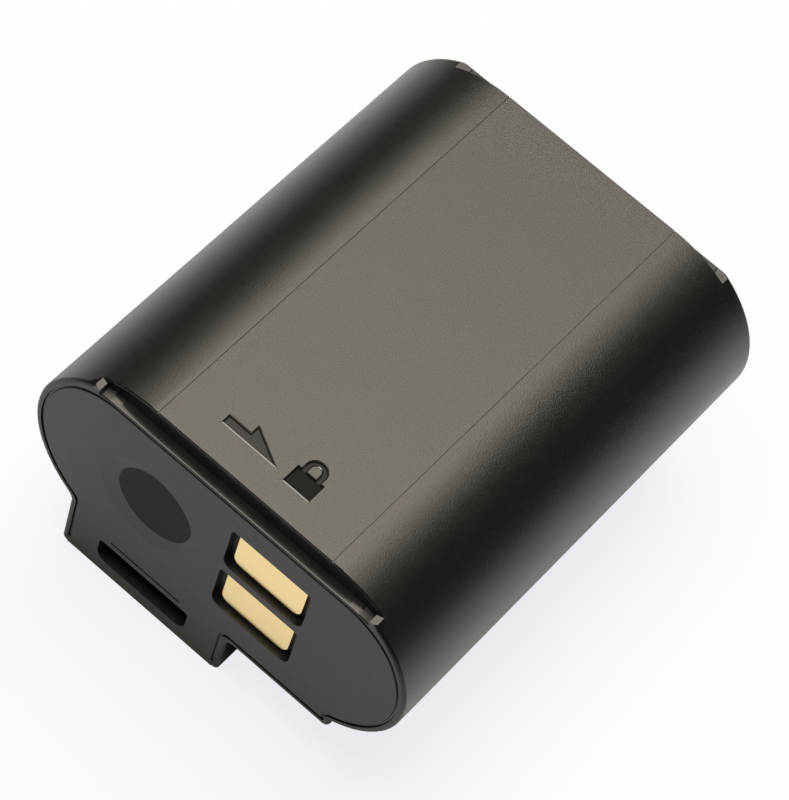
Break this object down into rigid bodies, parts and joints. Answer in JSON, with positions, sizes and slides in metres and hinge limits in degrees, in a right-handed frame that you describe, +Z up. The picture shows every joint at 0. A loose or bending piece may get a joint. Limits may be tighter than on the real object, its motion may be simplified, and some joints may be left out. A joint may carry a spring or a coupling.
{
  "type": "camera battery pack",
  "caption": "Moulded rechargeable camera battery pack with rounded lobes, a flat top, an offset keel, recessed gold contacts, a round dish and a latch slot.",
  "frame": {"origin": "under the middle of the pack's outline, on the plane that its keel stands on", "axes": "+X across the pack towards the lobe with the flat heel, +Y from the contact end to the rear end, +Z up"},
  "size_m": [0.048, 0.0566, 0.0327],
  "materials": {
    "case_plastic": "black, fine spark-eroded grain",
    "cover_plastic": "black, smooth satin",
    "contact_gold": "gold plated, satin",
    "board_laminate": "green solder mask",
    "chip_resin": "moulded black resin",
    "cell_can": "nickel-plated drawn steel",
    "insulator_paper": "fish paper",
    "strap_nickel": "rolled nickel strip",
    "pad_foam": "closed-cell foam"
  },
  "bodies": {
    "root": {"case_sleeve": "case_plastic", "contact_cover": "cover_plastic", "rear_cover": "cover_plastic", "contact_positive": "contact_gold", "contact_negative": "contact_gold", "circuit_board": "board_laminate", "protection_chip": "chip_resin", "switch_chip": "chip_resin", "cell_left": "cell_can", "cell_right": "cell_can", "insulator_ring_left": "insulator_paper", "insulator_ring_right": "insulator_paper", "link_strap": "strap_nickel", "tab_negative": "strap_nickel", "tab_positive": "strap_nickel", "front_insulator": "insulator_paper", "rear_pad": "pad_foam"}
  },
  "joints": []
}
